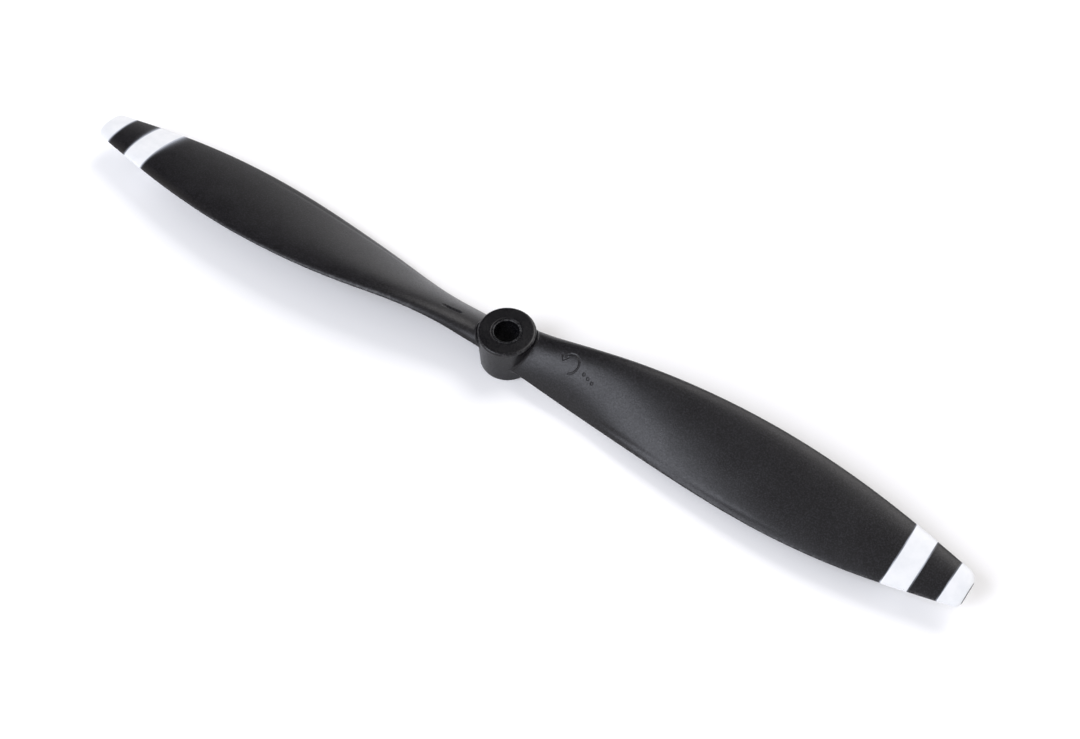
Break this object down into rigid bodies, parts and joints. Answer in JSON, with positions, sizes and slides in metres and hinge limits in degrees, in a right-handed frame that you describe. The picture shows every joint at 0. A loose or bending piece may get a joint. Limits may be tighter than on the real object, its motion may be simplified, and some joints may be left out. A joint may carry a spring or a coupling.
{
  "type": "propeller",
  "caption": "Fixed-pitch black moulded model aircraft propeller, 254 mm across with 127 mm pitch, white painted tips and stripes, and a bushed hub for a 6.35 mm shaft",
  "frame": {"origin": "on the shaft axis, at the middle of the hub's back face, which the propeller lies on", "axes": "+Z along the shaft towards the front of the aircraft, +X along blade_1 to its tip, +Y the way blade_1 travels (anticlockwise seen from the front)"},
  "size_m": [0.254, 0.029, 0.0135],
  "materials": {
    "black_nylon": "satin black glass-filled nylon with a fine moulded grain and broad cool highlights",
    "bush_plastic": "smooth black moulded plastic, slightly glossier than the hub",
    "white_paint": "thin sprayed white paint with soft overspray at the edges"
  },
  "bodies": {
    "root": {"hub": "black_nylon", "blade_1": "black_nylon", "blade_2": "black_nylon", "reducer_bush": "bush_plastic", "white_stripe_1": "white_paint", "white_stripe_2": "white_paint", "white_tip_1": "white_paint", "white_tip_2": "white_paint"}
  },
  "joints": []
}
